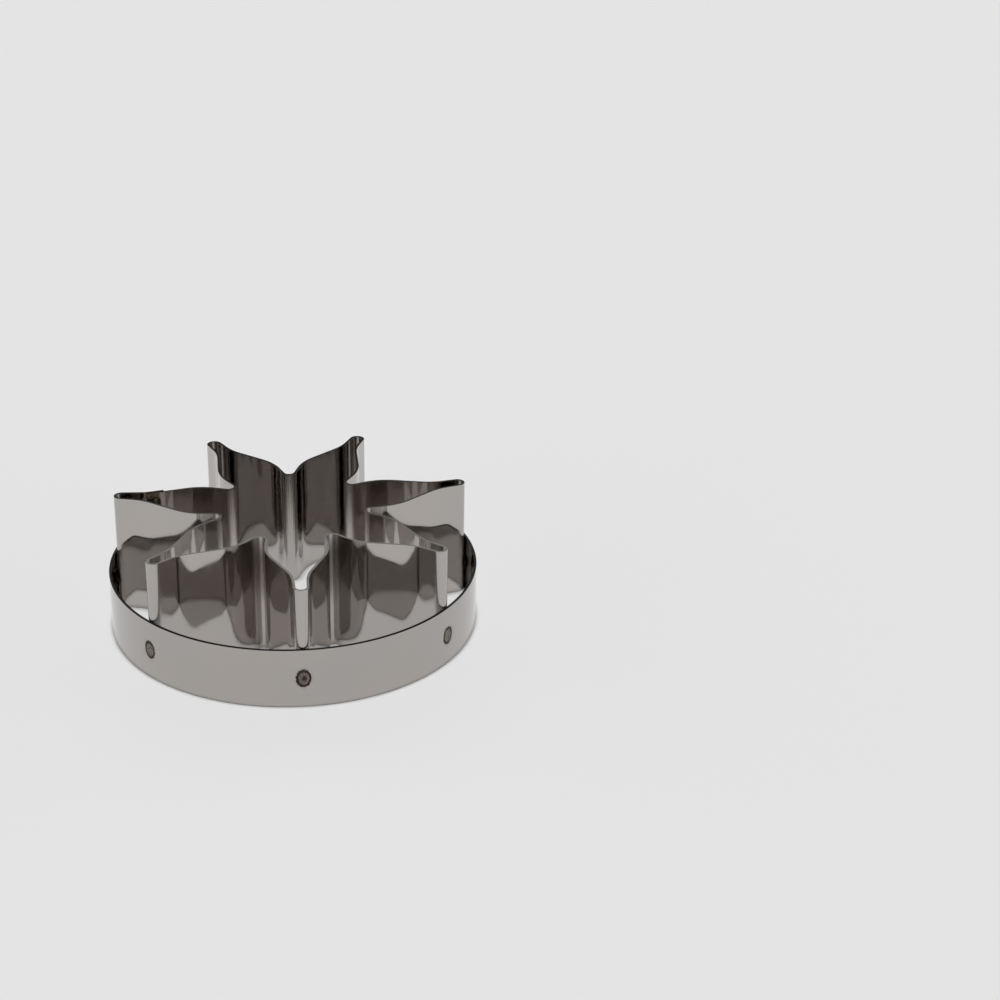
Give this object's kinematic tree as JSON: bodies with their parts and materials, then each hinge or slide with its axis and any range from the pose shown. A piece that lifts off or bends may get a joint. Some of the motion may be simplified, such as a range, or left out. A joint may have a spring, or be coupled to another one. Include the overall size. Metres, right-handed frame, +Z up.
{
  "type": "cookie cutter",
  "caption": "Flower-shaped cookie cutter: a thin steel strip bent into pointed petals with a free cutting edge, spot-welded inside a lower round grip ring.",
  "frame": {"origin": "centre of the ring, at the level of the lower edges of the ring and the flower", "axes": "+Z up to the cutting edge, -Y along the front petal, +X to the right seen from the front"},
  "size_m": [0.075, 0.075, 0.025],
  "materials": {
    "steel_strip": "bright rolled stainless sheet, half mirror",
    "weld_mark": "spot weld mark with brown heat tint"
  },
  "bodies": {
    "root": {"flower_strip": "steel_strip", "ring_band": "steel_strip", "tip_weld_1": "weld_mark", "tip_weld_2": "weld_mark", "tip_weld_3": "weld_mark", "tip_weld_4": "weld_mark", "tip_weld_5": "weld_mark", "tip_weld_6": "weld_mark", "tip_weld_7": "weld_mark", "ring_seam_weld": "weld_mark", "strip_seam_weld_upper": "weld_mark", "strip_seam_weld_lower": "weld_mark"}
  },
  "joints": []
}
